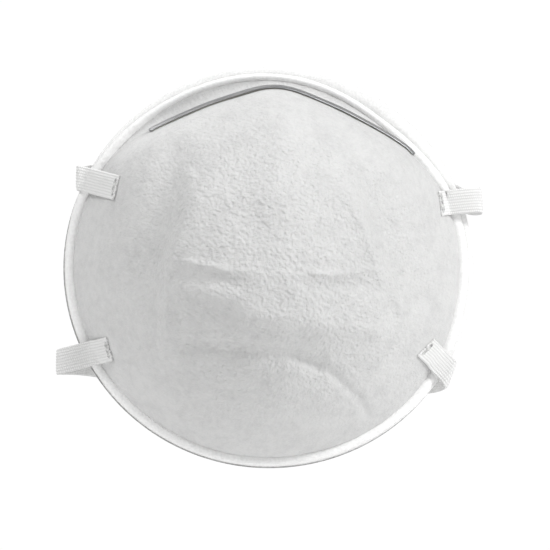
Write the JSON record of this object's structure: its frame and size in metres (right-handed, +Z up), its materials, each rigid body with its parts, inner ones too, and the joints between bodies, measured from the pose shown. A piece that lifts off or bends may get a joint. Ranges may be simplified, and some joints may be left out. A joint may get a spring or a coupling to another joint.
{
  "type": "disposable dust mask",
  "caption": "Moulded cup dust mask with a welded rim, an aluminium nose clip, a foam nose strip and an upper and a lower elastic strap that swing and stretch.",
  "frame": {"origin": "middle of the face seal, at the mean height of the rim's cheeks", "axes": "+Z up towards the nose, +Y towards the face, -Y out of the front of the cup, +X to the right seen from the front"},
  "size_m": [0.1351, 0.1054, 0.1274],
  "materials": {
    "outer_web": "soft point-bonded polypropylene nonwoven",
    "filter_web": "fine melt-blown polypropylene web",
    "support_shell": "stiff heat-moulded polyester fibre shell",
    "face_lining": "soft smooth spunbond nonwoven",
    "welded_edge": "nonwoven layers fused by ultrasonic welding",
    "clip_metal": "soft annealed aluminium strip",
    "hot_melt": "hot-melt adhesive film",
    "nose_foam": "open-cell polyurethane foam",
    "elastic": "woven elastic band with lengthwise ribs",
    "weld_tack": "pressed and melted elastic and nonwoven"
  },
  "bodies": {
    "cup": {"outer_web": "outer_web", "filter_web": "filter_web", "support_shell": "support_shell", "face_lining": "face_lining", "edge_weld": "welded_edge", "nose_clip": "clip_metal", "clip_adhesive": "hot_melt", "nose_foam": "nose_foam", "upper_strap_left_tail": "elastic", "upper_strap_right_tail": "elastic", "lower_strap_left_tail": "elastic", "lower_strap_right_tail": "elastic", "upper_left_tack": "weld_tack", "upper_right_tack": "weld_tack", "lower_left_tack": "weld_tack", "lower_right_tack": "weld_tack"},
    "upper_strap_sides": {"upper_strap_left_run": "elastic", "upper_strap_right_run": "elastic"},
    "upper_strap_back": {"upper_strap_back": "elastic"},
    "lower_strap_sides": {"lower_strap_left_run": "elastic", "lower_strap_right_run": "elastic"},
    "lower_strap_back": {"lower_strap_back": "elastic"}
  },
  "joints": [
    {"name": "upper_strap_swing", "type": "hinge", "parent": "cup", "child": "upper_strap_sides", "pos_m": [0, 0.002, 0.0264], "axis": [1, 0, 0], "range_deg": [-20, 70], "stiffness_Nm_per_rad": 0.02},
    {"name": "upper_strap_stretch", "type": "slide", "parent": "upper_strap_sides", "child": "upper_strap_back", "axis": [0, 0.9781, 0.2079], "range_m": [0, 0.08], "stiffness_N_per_m": 20, "deforming": ["upper_strap_left_run", "upper_strap_right_run"]},
    {"name": "lower_strap_swing", "type": "hinge", "parent": "cup", "child": "lower_strap_sides", "pos_m": [0, 0.002, -0.0337], "axis": [1, 0, 0], "range_deg": [-70, 20], "stiffness_Nm_per_rad": 0.02},
    {"name": "lower_strap_stretch", "type": "slide", "parent": "lower_strap_sides", "child": "lower_strap_back", "axis": [0, 0.9659, -0.2588], "range_m": [0, 0.08], "stiffness_N_per_m": 20, "deforming": ["lower_strap_left_run", "lower_strap_right_run"]}
  ]
}
